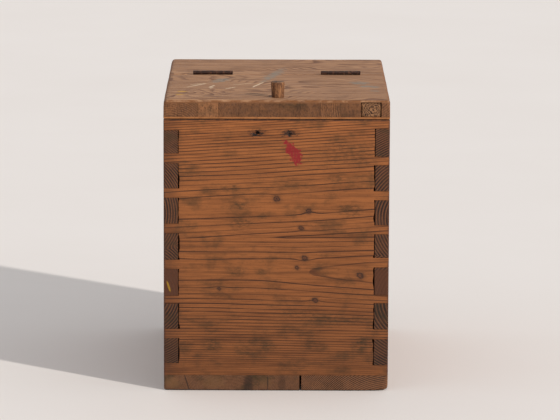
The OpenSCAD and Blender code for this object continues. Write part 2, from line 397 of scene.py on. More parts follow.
class Finish:
    """A material under construction."""

    def __init__(self, name):
        self.material = bpy.data.materials.new(name)
        self.material.use_nodes = True
        self.tree = self.material.node_tree
        self.tree.nodes.clear()
        self.at = self.node("TexCoord", output=3)

    def node(self, kind, inputs=None, output=0, **settings):
        """Adds a node. Inputs that are sockets are linked, the others are set."""
        node = self.tree.nodes.new("ShaderNode" + kind)
        for key, value in settings.items():
            setattr(node, key, value)
        for key, value in (inputs or {}).items():
            if isinstance(value, bpy.types.NodeSocket):
                self.tree.links.new(value, node.inputs[key])
            else:
                node.inputs[key].default_value = value
        return node.outputs[output]

    def math(self, operation, *values):
        """One step of arithmetic."""
        return self.node("Math", dict(enumerate(values)), operation=operation)

    def mix(self, share, a, b, blend="MIX"):
        """Colour a with a share of colour b."""
        return self.node("Mix", {0: share, 6: a, 7: b}, output=2, data_type="RGBA",
                         blend_type=blend)

    def band(self, value, low, high, start=0.0, end=1.0):
        """A smooth step from start to end while value goes from low to high."""
        return self.node("MapRange", {0: value, 1: low, 2: high, 3: start, 4: end},
                         interpolation_type="SMOOTHSTEP")

    def noise(self, size, seed=0, detail=3.0, rough=0.55):
        """Noise from 0 to 1 with blotches of the given length along x, y and z."""
        scale = [1 / s for s in size]
        moved = self.node("Mapping", {"Vector": self.at, "Scale": scale,
                                      "Location": (seed * 7.31, seed * 3.17, seed * 5.73)})
        return self.node("TexNoise", {"Vector": moved, "Scale": 1.0, "Detail": detail,
                                      "Roughness": rough})

    def spot(self, centre, size, turn=(0, 0, 0)):
        """Distance from a centre, counted so that 1 is the rim of an ellipsoid of that half size."""
        local = self.node("Mapping", {"Vector": self.at, "Location": centre, "Rotation": turn,
                                      "Scale": size}, vector_type="TEXTURE")
        return self.node("VectorMath", {0: local}, output=1, operation="LENGTH")

    def place(self, axis):
        """How far along axis 0, 1 or 2 each spot lies."""
        return self.node("SeparateXYZ", {0: self.at}, output=axis)

    def tear(self, value, noise, amount):
        """A value raised by noise, so that the rim of a mark is torn."""
        return self.math("MULTIPLY_ADD", noise, amount, value)

    def stored(self, name):
        """The three numbers that each point of the mesh stores under a name."""
        numbers = self.node("Attribute", output=1, attribute_name=name)
        return self.node("SeparateXYZ", {0: numbers}).node.outputs

    def finish(self, colour, roughness, height=None, depth=0.3 * MM, **fixed):
        """Closes the recipe with one surface shader. Fixed values are set on its own sockets."""
        inputs = {"Base Color": colour, "Roughness": roughness, "Specular IOR Level": 0.3, **fixed}
        if height is not None:
            inputs["Normal"] = self.node("Bump", {"Height": height, "Distance": depth,
                                                  "Strength": 1.0})
        surface = self.node("BsdfPrincipled", inputs)
        last = self.tree.nodes.new("ShaderNodeOutputMaterial")
        self.tree.links.new(surface, last.inputs["Surface"])
        return self.material


# %% [markdown]
# ## Old pine
# A year of pine is a wide pale band that darkens slowly into a thin hard line and then
# stops sharply. Years differ in strength, fibres run through everything, and stains and
# handling lie on top. Ends drink more dirt than faces, so they are much darker.

# %% The pine finish
def pine(name, axis, pale, dark, end_pale, end_dark, seed=0, line=1.0, worn=None, stain=0.5,
         stain_colour=tint(52, 40, 19), marks=None, gloss=0.62, waver=0.12, late=(0.60, 0.88),
         foot=None, streaks=0.36, end_line=1.0):
    """Old waxed or dry pine whose grain runs along one axis.

    late is where in a year the dark wood starts and is darkest. foot is the shade at the
    floor, how much it grows with each metre of height, and below which height the lines
    drown in dirt. end_line is the contrast of the rings on the ends."""
    f = Finish(name)
    ring, end, wear = f.stored("wood")
    tone, broad = f.stored("board")[:2]

    shaken = f.noise(along_grain(axis, 7 * MM, 60 * MM), seed + 1, 2.0)
    ring = f.math("MULTIPLY_ADD", shaken, waver, ring)
    age = f.math("FRACT", ring)
    strong = f.node("TexWhiteNoise", {"W": f.math("FLOOR", ring)}, noise_dimensions="1D")
    late_age = f.math("POWER", age, f.math("ADD", broad, 1.0))
    lines = f.math("MULTIPLY", f.band(late_age, *late), f.band(late_age, 0.92, 1.0, 1.0, 0.0))
    fade = f.band(f.noise(along_grain(axis, 12 * MM, 70 * MM), seed + 2, 3.0), 0.34, 0.56, 0.55, 1.0)
    shown = f.math("MULTIPLY", lines, f.math("MULTIPLY_ADD", strong, 0.45, 0.55))
    shown = f.math("MULTIPLY", shown, f.math("MULTIPLY", fade, line))
    height = f.place(2)
    if foot is not None:
        shown = f.math("MULTIPLY", shown, f.band(height, 0.6 * foot[2], 1.2 * foot[2], 0.35, 1.0))

    fibre = f.noise(along_grain(axis, 1.5 * MM, 45 * MM), seed + 3, 3.0, 0.65)
    streak = f.noise(along_grain(axis, 5 * MM, 120 * MM), seed + 4, 3.0, 0.6)
    face = f.mix(shown, pale, dark)
    face = f.mix(f.band(fibre, 0.42, 0.66, 0.0, streaks), face, dark)
    face = f.mix(f.band(streak, 0.42, 0.70, 0.0, streaks), face, dark)
    pores = f.noise((1.2 * MM,) * 3, seed + 5, 2.0)
    end_lines = f.math("MULTIPLY", f.band(age, 0.12, 0.55), f.band(age, 0.86, 1.0, 1.0, 0.0))
    dull = f.band(f.noise((16 * MM,) * 3, seed + 9, 2.0), 0.35, 0.62, 1.0, 0.75)
    lined = f.math("MULTIPLY", end_lines, f.math("MULTIPLY", dull, end_line))
    ends = f.mix(f.math("ADD", lined, 0.5 - 0.5 * end_line), end_pale, end_dark)
    ends = f.mix(f.band(pores, 0.42, 0.72, 0.0, 0.45), ends, end_dark)
    colour = f.mix(f.band(end, 0.35, 0.75), face, ends)

    blotch = f.noise((34 * MM, 34 * MM, 20 * MM), seed + 6, 5.0, 0.62)
    colour = f.mix(f.band(blotch, 0.47, 0.74, 0.0, stain), colour, stain_colour)
    shade = f.math("ADD", tone, 1.0)
    if foot is not None:
        shade = f.math("MULTIPLY", shade, f.math("MULTIPLY_ADD", height, foot[1], foot[0]))
    colour = f.mix(1.0, colour, f.node("CombineColor", {0: shade, 1: shade, 2: shade}), "MULTIPLY")
    if worn is not None:
        rub = f.noise((12 * MM,) * 3, seed + 7, 4.0, 0.65)
        share = f.math("MULTIPLY", f.band(wear, 0.60, 0.97), f.band(rub, 0.38, 0.58))
        colour = f.mix(share, colour, worn)
    if marks is not None:
        colour = marks(f, colour)
    dirt = f.noise((2.4 * MM,) * 3, seed + 8, 3.0, 0.6)
    colour = f.mix(f.band(dirt, 0.60, 0.78, 0.0, 0.45), colour, stain_colour)
    rough = f.band(streak, 0.3, 0.7, gloss - 0.07, gloss + 0.12)
    relief = f.math("MULTIPLY_ADD", shown, -0.5, f.math("MULTIPLY", fibre, 0.6))
    return f.finish(colour, rough, relief, 0.35 * MM)


# %% [markdown]
# ## Marks on the front
# Knots, stains and the two splintered nail holes have places of their own. Each is an
# ellipsoid of distance round a centre, broken up by noise so that no rim is clean. A
# daub of red paint stands where someone once tried a brush.

# %% Knots and stains of the front panel
# Sideways place, height and size in millimetres
FRONT_KNOTS = np.array([(0.5, 261, 4.6), (43, 245, 4.0), (33, 222, 3.6), (38, 181, 4.2), (28, 168, 3.0),
                        (112, 158, 4.8), (-76, 139, 2.6), (52, 124, 3.8)]) * MM
# Sideways place, height, half width, half height and strength of the dark stains
FRONT_STAINS = [(-48, 253, 15, 7, 0.6), (-48, 228, 20, 9, 0.5), (97, 247, 22, 12, 0.55),
                (80, 290, 18, 9, 0.45), (-60, 276, 18, 6, 0.5), (60, 97, 40, 13, 0.4),
                (-10, 60, 14, 9, 0.65), (-85, 62, 17, 12, 0.6), (-45, 55, 14, 16, 0.45),
                (112, 62, 14, 15, 0.6), (-52, 163, 16, 9, 0.45), (20, 105, 26, 9, 0.35),
                (100, 322, 60, 22, 0.35), (-19, 162, 9, 6, 0.5), (105, 96, 18, 6, 0.4)]
NAIL_HOLES = np.array([(-26, 349.6), (17.5, 349.6)]) * MM


def front_spot(f, x, z, wide, high, turn=0.0, deep=15 * MM):
    """How far each spot lies from (x, z) on the front, where 1 is the rim of the mark."""
    return f.spot((x, FRONT_Y, z), (wide, deep, high), (0, turn, 0))


def front_marks(f, colour):
    """Adds stains, knots, splintered nail holes and the red daub to the front, darkens its left end, and
    paints shade in a thin line under the lid.
    """
    ragged = f.noise((6 * MM, 6 * MM, 3 * MM), 31, 4.0, 0.65)
    mottle_noise = f.noise((5 * MM, 5 * MM, 2.2 * MM), 32, 4.0, 0.6)
    for x, z, wide, high, strength in FRONT_STAINS:
        far = f.tear(front_spot(f, x * MM, z * MM, wide * MM, high * MM), ragged, 1.2)
        sooty = f.band(mottle_noise, 0.38, 0.60, 0.15, 1.1)
        share = f.math("MULTIPLY", f.band(far, 0.8, 1.8, strength, 0.0), sooty)
        colour = f.mix(share, colour, tint(46, 36, 16))
    for x, z, size in FRONT_KNOTS:
        far = f.tear(front_spot(f, x, z, size * 1.3, size, 0.5), ragged, 1.3)
        colour = f.mix(f.band(far, 1.2, 2.4, 0.6, 0.0), colour, tint(82, 50, 26))
        colour = f.mix(f.band(far, 1.0, 1.6, 0.65, 0.0), colour, tint(88, 48, 28))
        ring = f.math("MULTIPLY", f.band(far, 1.0, 1.2), f.band(far, 1.25, 1.6, 1.0, 0.0))
        colour = f.mix(f.math("MULTIPLY", ring, 0.8), colour, tint(42, 24, 16))
        colour = f.mix(f.band(far, 0.65, 0.95, 0.85, 0.0), colour, tint(46, 28, 20))
    splinter = f.noise((5 * MM, 5 * MM, 1.5 * MM), 33, 4.0, 0.7)
    for x, z in NAIL_HOLES:
        halo = f.tear(front_spot(f, x, z, 16 * MM, 6.5 * MM), splinter, 2.0)
        colour = f.mix(f.band(halo, 1.2, 2.1, 0.75, 0.0), colour, tint(62, 34, 20))
        far = f.tear(front_spot(f, x, z, 13 * MM, 6.5 * MM), splinter, 3.6)
        colour = f.mix(f.band(far, 2.1, 2.35, 0.97, 0.0), colour, tint(14, 9, 8))
    # The front is darker towards its left end.
    side = f.tear(f.place(0), mottle_noise, 6 * MM)
    left_darkening = f.band(side, 6 * MM - SIDE_X, 34 * MM - SIDE_X, 0.42, 0.0)
    colour = f.mix(left_darkening, colour, tint(66, 36, 20))
    # Painted shade: a thin dark line along the top of the front, in the gap under the lid.
    height = f.tear(f.place(2), mottle_noise, 1.6 * MM)
    shade_under_lid = f.band(height, WALL_Z - 1.0 * MM, WALL_Z - 0.2 * MM, 0.0, 0.6)
    colour = f.mix(shade_under_lid, colour, tint(28, 17, 12))
    edge = f.noise((6 * MM, 6 * MM, 6 * MM), 34, 4.0, 0.6)
    thin = f.noise((1.4 * MM, 1.4 * MM, 11 * MM), 35, 3.0, 0.6)
    daub = f.tear(front_spot(f, 22 * MM, 323 * MM, 8 * MM, 17 * MM, -0.5), edge, 2.4)
    share = f.math("MULTIPLY", f.band(daub, 2.10, 2.25, 1.0, 0.0), f.band(thin, 0.34, 0.50, 0.5, 0.95))
    return f.mix(share, colour, tint(132, 22, 28))


# %% [markdown]
# ## The walls
# Front and back are full-width boards with sockets, the sides are boards with pins. The
# front is made of two boards glued edge to edge, so it has two hearts: that is why it
# shows two broad flame-like bands with fine lines between them.

# %% Front and back panels
PINE = dict(pale=tint(158, 94, 47), dark=tint(64, 32, 15), end_pale=tint(116, 71, 41),
            end_dark=tint(42, 21, 12), foot=(0.61, 1.1, 0.04))
# How far a finger or a pin reaches into the body of its board
OVERLAP = 6 * MM


def panel_blocks(node, y_low, y_high):
    """The middle slab of a panel and its fingers, which lie between the sockets of each end."""
    blocks = [((-SOCKET_X, y_low, BASE_Z), (SOCKET_X, y_high, WALL_Z))]
    for s in (-1, 1):
        sockets = cut_heights(node, 0, s * SOCKET_X)
        lows = [BASE_Z, *sockets[:, 1]]
        highs = [*sockets[:, 0], WALL_Z]
        x_low, x_high = sorted((s * SIDE_X, s * (SOCKET_X - OVERLAP)))
        blocks += [((x_low, y_low, a), (x_high, y_high, b)) for a, b in zip(lows, highs)]
    return blocks


def box_board(name, node, blocks, along, hearts, seed, slot, finish, **details):
    """One board of the box, worn together with the whole box."""
    board = timber(blocks, along, hearts, seed, BOX_BLOCK, box_wear_radius, **details)
    wooden(name, [board], "box", [node], finish)


# Half width, half height and depth of a torn pit
PIT = np.array([4.5, 2.0, 3.2]) * MM


def nail_pits(points, looks):
    """Presses torn pits into the front at the old nail holes."""
    on_front = looks[:, 1] < -0.5
    torn = 1 + 0.7 * ripple(points, (3 * MM, 9 * MM, 1.5 * MM), 41)
    deep = np.zeros(len(points))
    for x, z in NAIL_HOLES:
        far = ((points[:, 0] - x) / PIT[0]) ** 2 + ((points[:, 2] - z) / PIT[1]) ** 2
        deep += PIT[2] * np.exp(-far) * torn.clip(0.2, 1.6)
    points[:, 1] += np.where(on_front, deep, 0)
    return points


def ragged_shoulders(points, looks):
    """Pits at the nail holes, and shoulders that a hand saw left uneven: near the end of the
    sockets each point moves inwards by a random amount that changes with height."""
    points = nail_pits(points, looks)
    near = np.exp(-((np.abs(points[:, 0]) - SOCKET_X) / (3 * MM)) ** 2)
    side = np.sign(points[:, 0])
    level = np.stack([side * 0.5, 0 * side, points[:, 2]], 1)
    uneven = ripple(level, (1.0, 1.0, 9 * MM), 43).clip(-0.6, 1.6)
    points[:, 0] -= side * near * 0.7 * MM * uneven
    return points


front_pine = pine("front_pine", 0, **PINE, seed=2, worn=tint(84, 46, 26), marks=front_marks,
                  late=(0.56, 0.82), line=1.15, stain=0.58)
pit_x = (NAIL_HOLES[:, :1] + np.linspace(-9, 9, 15) * MM).ravel()
pit_z = (NAIL_HOLES[:, 1:] + np.linspace(-5, 5, 13) * MM).ravel()
front_hearts = [heart(FRONT_Y + 22 * MM, 254 * MM, 12 * MM, 0.0, 0.06),
                heart(FRONT_Y + 20 * MM, 163 * MM, 12 * MM, -0.033, -0.01, -0.22)]
box_board("front_board", "front_panel", panel_blocks("front_panel", FRONT_Y, FRONT_Y + WALL), 0,
          front_hearts, 11, "front_pine", front_pine, extra=(pit_x, (), pit_z),
          knots=FRONT_KNOTS, shape=ragged_shoulders)

back_pine = pine("back_pine", 0, **PINE, seed=9, worn=tint(84, 46, 26))
back_hearts = [heart(BACK_Y - 24 * MM, 110 * MM, 8 * MM, 0.03, 0.02),
               heart(BACK_Y - 20 * MM, 290 * MM, 9 * MM, 0.02, -0.03)]
box_board("back_board", "back_panel", panel_blocks("back_panel", BACK_Y - WALL, BACK_Y), 0,
          back_hearts, 21, "front_pine", back_pine)


# %% Side panels
def side_blocks(node, x_low, x_high):
    """The body of a side panel between the end panels, and the pins at its two ends."""
    blocks = [((x_low, FRONT_Y + WALL, BASE_Z), (x_high, BACK_Y - WALL, WALL_Z))]
    for y, inner in ((FRONT_Y, FRONT_Y + WALL + OVERLAP), (BACK_Y, BACK_Y - WALL - OVERLAP)):
        y_low, y_high = sorted((y, inner))
        blocks += [((x_low, y_low, a), (x_high, y_high, b)) for a, b in cut_heights(node, 1, y)]
    return blocks


def pin_marks(f, colour):
    """Years of grease hide the rings on one pin at each side, and the left one has a yellow smear."""
    ragged = f.noise((7 * MM, 7 * MM, 7 * MM), 21, 3.0, 0.6)
    for side in (-1, 1):
        pin = front_spot(f, side * (SIDE_X - WALL / 2), 147 * MM, 26 * MM, 24 * MM)
        far = f.tear(pin, ragged, 0.5)
        colour = f.mix(f.band(far, 0.9, 1.3, 0.85, 0.0), colour, tint(80, 44, 24))
    smear = front_spot(f, 6.6 * MM - SIDE_X, 142 * MM, 1.5 * MM, 9 * MM, -0.30)
    smear = f.tear(smear, ragged, 0.6)
    return f.mix(f.band(smear, 0.9, 1.4, 0.9, 0.0), colour, tint(150, 112, 24))


# The rings of the side boards tighten more slowly
SLOW = 90 * MM
side_pine = pine("side_pine", 1, **PINE, seed=15, worn=tint(66, 38, 24), stain=0.6, marks=pin_marks)
left_hearts = [heart(-199 * MM, 238 * MM, 5.8 * MM, 0.02, -0.02, tighten=SLOW),
               heart(-184 * MM, 127 * MM, 5.6 * MM, 0.0, -0.03, tighten=SLOW)]
right_hearts = [heart(201 * MM, 228 * MM, 6.4 * MM, 0.03, -0.03, tighten=SLOW),
                heart(185 * MM, 120 * MM, 6.6 * MM, 0.0, -0.02, tighten=SLOW)]
box_board("left_board", "left_side", side_blocks("left_side", -SIDE_X, -SIDE_X + WALL), 1,
          left_hearts, 31, "side_pine", side_pine)
box_board("right_board", "right_side", side_blocks("right_side", SIDE_X - WALL, SIDE_X), 1,
          right_hearts, 35, "side_pine", side_pine)

# %% [markdown]
# ## The bottom
# Two dry boards lie under the walls with their grain from front to back, so the front
# shows their ends. A slit stays open between them.

# %% Bottom boards
BOTTOM = dict(pale=tint(128, 86, 54), dark=tint(84, 50, 30), end_pale=tint(134, 89, 58),
              end_dark=tint(46, 26, 16))


def lifted_foot(points, looks):
    """Lifts the under face a little, so that the nail heads stand proud of it."""
    points[:, 2] += np.where(looks[:, 2] < -0.5, 0.15 * MM, 0)
    return points


def floor_contact_shade(f, colour):
    """Painted shade: the lowest edge is darkened where the boards stand on the floor."""
    ragged = f.noise((11 * MM, 11 * MM, 3 * MM), 46, 3.0, 0.6)
    height = f.tear(f.place(2), ragged, 3 * MM)
    return f.mix(f.band(height, 2.0 * MM, 3.6 * MM, 0.85, 0.0), colour, tint(24, 15, 11))


def bottom_cracks(f, colour):
    """A slanting crack, two dark joints and paler patches in the left board's end, and the painted shade
    along its lowest edge.
    """
    ragged = f.noise((9 * MM,) * 3, 45, 3.0, 0.6)
    for x, half, strength in ((-138, 12, 0.55), (-84, 20, 0.45), (-14, 10, 0.3)):
        far = front_spot(f, x * MM, 11 * MM, half * MM, 10 * MM, deep=40 * MM)
        far = f.tear(far, ragged, 1.2)
        colour = f.mix(f.band(far, 0.9, 1.8, strength, 0.0), colour, tint(116, 81, 50))
    for x, half, slant, strength in ((-119, 0.9, -0.3, 0.9), (-37, 8.0, 0.1, 0.6),
                                     (-11, 0.9, 0.0, 0.7), (8, 6.0, 0.0, 0.35)):
        far = front_spot(f, x * MM, 10 * MM, half * MM, 16 * MM, slant, 40 * MM)
        far = f.tear(far, ragged, 0.8)
        colour = f.mix(f.band(far, 0.9, 1.5, strength, 0.0), colour, tint(34, 21, 15))
    return floor_contact_shade(f, colour)


bottom_hearts = {"left": heart(-60 * MM, 120 * MM, 7 * MM, 0.02, 0.02),
                 "right": heart(160 * MM, -85 * MM, 9.5 * MM, 0.0, 0.02)}
for side_name, board_heart in bottom_hearts.items():
    node = "bottom_board_" + side_name
    left_one = side_name == "left"
    # The right board's only mark is the painted shade along its lowest edge.
    bottom_pine = pine(f"bottom_pine_{side_name}", 1, **BOTTOM, seed=44, gloss=0.75,
                       stain=0.95 if left_one else 0.3, end_line=0.35 if left_one else 1.0,
                       marks=bottom_cracks if left_one else floor_contact_shade)
    box_board("bottom_" + side_name, node, [limits(node)], 1, [board_heart], 51, "bottom_pine",
              bottom_pine, step=(4 * MM, 7 * MM, 4 * MM), shape=lifted_foot)

# %% [markdown]
# ## The blockboard top
# The top is a sandwich: strips of softwood side by side between two veneers. The saw cut
# through it shows the strips' ends, each from another tree, so each strip gets a heart
# and a tone of its own. The veneers were peeled from a log, so their grain wanders in
# wide flames.

# %% Core strips
SEAM = 0.5 * (rear_low[1] + lid_high[1])
# A leaf's pocket: room round the leaf, depth in its board, and reach past the seam
LEAF_ROOM = 0.3 * MM
POCKET = 1.6 * MM
PAST_SEAM = 5 * MM


def hinge_holes(side):
    """The pockets for the two leaves on one side of the seam, as blocks to leave out."""
    holes = []
    for name in ("left", "right"):
        low, high = limits(f"{name}_hinge_{'fixed' if side > 0 else 'moving'}_leaf")
        y_low, y_high = sorted((SEAM + side * POCKET, SEAM - side * PAST_SEAM))
        holes.append(((low[0] - LEAF_ROOM, y_low, low[2] - LEAF_ROOM),
                      (high[0] + LEAF_ROOM, y_high, high[2])))
    return holes


def strip_edges(node, y):
    """Left and right limits of each core strip, from the CAD corners on the cut at y."""
    points = corners(node)
    edges = np.unique(points[np.abs(points[:, 1] - y) < 0.005 * MM, 0].round(5))
    edges[[0, -1]] = -SIDE_X, SIDE_X
    return edges.reshape(-1, 2)


def strips(node, edges, trees, body_block, holes, seed):
    """Core strips of one half of the top, each cut from its own tree: a row of trees gives its
    shade, its ring width, and how far and in which direction its heart lies."""
    low, high = limits(node)
    parts = []
    for i, ((x_low, x_high), (tone, ring, far, turn)) in enumerate(zip(edges, trees)):
        turn = math.radians(turn)
        own = heart((x_low + x_high) / 2 + far * MM * math.cos(turn),
                    (low[2] + high[2]) / 2 + far * MM * math.sin(turn), ring * MM, 0.02, 0.01)
        block = ((x_low, low[1], low[2]), (x_high, high[1], high[2]))
        touched = [h for h in holes if h[0][0] < x_high and h[1][0] > x_low]
        parts.append(timber([block], 1, [own], seed + 3 * i + 70, body_block, lid_wear_radius,
                            step=(5 * MM, 12 * MM, 5 * MM), holes=touched, tone=tone,
                            own_arris=0.3 * MM))
    return parts


LID_BLOCK = (lid_low, lid_high)
REAR_BLOCK = (rear_low, rear_high)
# Strips of the lid from left to right, leaving out the loose one, and of the rear part
LID_TREES = [(0.12, 4.6, 20, -80), (0.06, 4.4, 24, -110), (0.34, 400, 30, 40), (-0.08, 3.6, 30, 200),
             (-0.12, 3.4, 50, 95), (-0.08, 3.6, 40, -60), (-0.14, 3.4, 60, 80), (-0.06, 3.6, 45, 170),
             (0.14, 9, 90, 5), (0.08, 400, 70, -70), (0.16, 6.0, 40, 120)]
REAR_TREES = [(-0.20, 4.5, 40, 30), (0.10, 5.0, 25, 100), (-0.30, 4.0, 60, -70), (0.05, 6.0, 15, 40),
              (-0.15, 4.0, 35, 190), (-0.25, 5.0, 50, 80), (0.10, 4.5, 20, -90), (-0.35, 4.0, 70, 60),
              (-0.10, 5.5, 30, 150), (0.20, 6.0, 18, -30), (-0.15, 4.5, 45, 100), (0.0, 5.0, 30, 0)]


def worn_over(f, colour):
    """The veneer's arris is worn down over the top of the strips: a ragged band of its colour."""
    ragged = f.noise((7 * MM, 7 * MM, 3 * MM), 62, 3.0, 0.65)
    level = f.tear(f.place(2), ragged, 3 * MM)
    share = f.band(level, lid_high[2] - 3.4 * MM, lid_high[2] - 2.0 * MM, 0.0, 0.85)
    return f.mix(share, colour, tint(122, 78, 46))


def open_grain(f, colour):
    """Sawn strip ends are rough: dirt sits in upright flecks between the fibres."""
    fleck = f.noise((1.6 * MM, 8 * MM, 4.5 * MM), 61, 4.0, 0.7)
    patch = f.noise((16 * MM, 8 * MM, 9 * MM), 62, 3.0, 0.6)
    colour = f.mix(f.band(fleck, 0.48, 0.62, 0.0, 0.6), colour, tint(62, 38, 24))
    colour = f.mix(f.band(patch, 0.50, 0.68, 0.0, 0.2), colour, tint(150, 98, 58))
    return worn_over(f, colour)


def loose_wear_radius(points):
    """Arris radius of the loose strip, which is splintered all round."""
    return 1.2 * MM * (1 + 0.5 * ripple(points, (6 * MM,) * 3, 3)).clip(0.2, 2)


CORE = dict(pale=tint(140, 94, 58), dark=tint(92, 56, 34))
core_pine = pine("core_pine", 1, **CORE, end_pale=tint(138, 92, 58), end_dark=tint(80, 49, 30),
                 seed=61, gloss=0.78, stain=0.6, end_line=0.6, marks=open_grain)
lid_strips = strips("lid_core", strip_edges("lid_core", FRONT_Y), LID_TREES, LID_BLOCK,
                    hinge_holes(-1), 610)
wooden("lid_strips", lid_strips, "lid", ["lid_core"], core_pine)
rear_strips = strips("rear_top_core", strip_edges("rear_top_core", BACK_Y), REAR_TREES, REAR_BLOCK,
                     hinge_holes(1), 640)
wooden("rear_strips", rear_strips, "box", ["rear_top_core"], core_pine)

loose_low, loose_high = limits("lid_loose_strip")
loose_heart = heart((loose_low[0] + loose_high[0]) / 2 + 3 * MM,
                    (loose_low[2] + loose_high[2]) / 2, 3.2 * MM)
loose = timber([(loose_low, loose_high)], 1, [loose_heart], 77, (loose_low, loose_high),
               loose_wear_radius, step=(3 * MM, 12 * MM, 3 * MM))
loose_pine = pine("loose_pine", 1, **CORE, end_pale=tint(154, 110, 74), end_dark=tint(52, 31, 20),
                  seed=71, gloss=0.8, waver=4.0, stain=0.9)
wooden("loose_strip", [loose], "lid", ["lid_loose_strip"], loose_pine)

# %% Marks on the top
# Each row: start and end of a stroke in millimetres, and its half width
BLUE_STROKES = [((-20, -32), (12, 112), 9.0), ((-90, -44), (-66, 6), 10.0), ((100, -28), (124, -50), 12.0),
                ((114, -62), (136, -84), 12.0), ((126, -110), (136, -118), 7.0)]
PALE_STROKES = [((-124, -86), (-92, -43), 1.5), ((-92, -86), (-84, -64), 1.8), ((-90, -93), (-86, -84), 1.6),
                ((-68, -97), (-55, -79), 1.5), ((-33, -82), (-19, -38), 1.7), ((-60, -60), (-30, -44), 1.0),
                ((-118, -60), (-100, -48), 1.0)]
YELLOW_STROKES = [((-134, -150), (-126, -150), 2.0), ((-133, -122), (-122, -124), 3.0)]


def stroke(f, start, end, half_width, ragged, level):
    """Ragged distance from a straight stroke: an ellipsoid along it, shaken by noise."""
    (x0, y0), (x1, y1) = start, end
    middle = ((x0 + x1) / 2 * MM, (y0 + y1) / 2 * MM, level)
    half = math.hypot(x1 - x0, y1 - y0) / 2 * MM
    turn = math.atan2(y1 - y0, x1 - x0)
    far = f.spot(middle, (half, half_width * MM, 4 * MM), (0, 0, turn))
    return f.tear(far, ragged, 1.8)


def top_marks(f, colour):
    """Blue-grey and yellow paint wiped over the top, and pale scratches."""
    level = lid_high[2]
    ragged = f.noise((6 * MM, 16 * MM, 6 * MM), 51, 4.0, 0.7)
    dry = f.noise((14 * MM, 7 * MM, 5 * MM), 52, 3.0, 0.6)
    for start, end, half_width in BLUE_STROKES:
        far = stroke(f, start, end, half_width, ragged, level)
        share = f.math("MULTIPLY", f.band(far, 1.45, 2.1, 0.8, 0.0), f.band(dry, 0.38, 0.56, 0.2, 1.0))
        colour = f.mix(share, colour, tint(134, 125, 112))
    for start, end, half_width in PALE_STROKES:
        far = stroke(f, start, end, half_width, ragged, level)
        colour = f.mix(f.band(far, 1.6, 2.2, 0.75, 0.0), colour, tint(226, 200, 168))
    for start, end, half_width in YELLOW_STROKES:
        far = stroke(f, start, end, half_width, ragged, level)
        colour = f.mix(f.band(far, 1.9, 2.5, 0.9, 0.0), colour, tint(200, 148, 50))
    return colour


# %% Veneers
# Size of the veneer's hills and of the small ones on them, so tall that height plays no part
HILL = (170 * MM, 110 * MM, 1.0)
HILLOCK = (60 * MM, 30 * MM, 1.0)
RINGS_PER_HILL = 3.0
VENEER_RING = 12 * MM


def flames(points, seed):
    """Rings of a peeled veneer: level lines of a slow random height, stretched along the grain."""
    hill = ripple(points, HILL, seed)
    hill += 0.16 * ripple(points, HILLOCK, seed + 1)
    return points[:, 1] / VENEER_RING + RINGS_PER_HILL * hill


def veneer(name, body, node, finish, worn_by, holes, seed):
    """One face of the top: a thin sheet with the wear of the whole half laid over it."""
    low, high = limits(node)
    points, quads, facings = block_surface([(low, high)], 4 * MM, holes)
    looks = point_facings(points, quads, facings)
    rings = flames(points, seed)
    worn = edge_nearness(points, worn_by, 12 * MM)
    points = rolled(points, [worn_by], lid_wear_radius(points))
    wood = np.stack([rings, np.abs(looks[:, 0]), worn], 1)
    return make_piece(name, points, quads, body, [node], finish,
                      {"wood": wood, "board": np.zeros((len(points), 3))})


TOP = dict(pale=tint(184, 137, 99), dark=tint(106, 68, 46), end_pale=tint(146, 96, 58),
           end_dark=tint(88, 54, 34))
top_veneer = pine("top_veneer", 0, **TOP, seed=81, gloss=0.72, stain=0.40, streaks=0.5,
                  worn=tint(124, 77, 42), stain_colour=tint(92, 62, 44), marks=top_marks,
                  late=(0.40, 0.88))
inner_veneer = pine("inner_veneer", 0, pale=tint(168, 110, 64), dark=tint(128, 78, 42),
                    end_pale=tint(154, 100, 55), end_dark=tint(110, 68, 38), seed=91, gloss=0.7,
                    stain=0.42, line=0.6)
veneer("lid_face", "lid", "lid_face_veneer", top_veneer, LID_BLOCK, hinge_holes(-1), 101)
veneer("lid_underside", "lid", "lid_back_veneer", inner_veneer, LID_BLOCK, [], 111)
veneer("rear_face", "box", "rear_top_face_veneer", top_veneer, REAR_BLOCK, hinge_holes(1), 101)
veneer("rear_underside", "box", "rear_top_back_veneer", inner_veneer, REAR_BLOCK, [], 121)

# %% [markdown]
# ## The knob
# A peg whittled from a branch, wider at the top, dark where fingers grip it. It is turned
# as a surface of revolution whose radius is shaken a little, so that it isn't machine round.

# %% A surface of revolution
def lathe(profile, around, centre, shake, seed):
    """Points and quads of a closed turned shape.

    Each profile row (radius, height) becomes a ring of points at equal angles; the first
    and last rows have almost no radius and close the ends. shake is the share by which
    the radius strays with angle and height."""
    profile = np.asarray(profile, float)
    angle = np.linspace(0, 2 * math.pi, around, endpoint=False)
    radius = profile[:, 0][:, None] * np.ones(around)
    height = profile[:, 1][:, None] * np.ones(around)
    points = np.stack([radius * np.cos(angle), radius * np.sin(angle), height], 2)
    flat = points.reshape(-1, 3)
    stray = 1 + shake * ripple(flat, (9 * MM, 9 * MM, 22 * MM), seed)
    flat = flat * np.stack([stray, stray, np.ones(len(flat))], 1) + centre
    i, j = np.meshgrid(np.arange(len(profile) - 1), np.arange(around), indexing="ij")
    k = (j + 1) % around
    quads = np.stack([i * around + j, i * around + k, (i + 1) * around + k, (i + 1) * around + j], 2)
    return flat, quads.reshape(-1, 4)


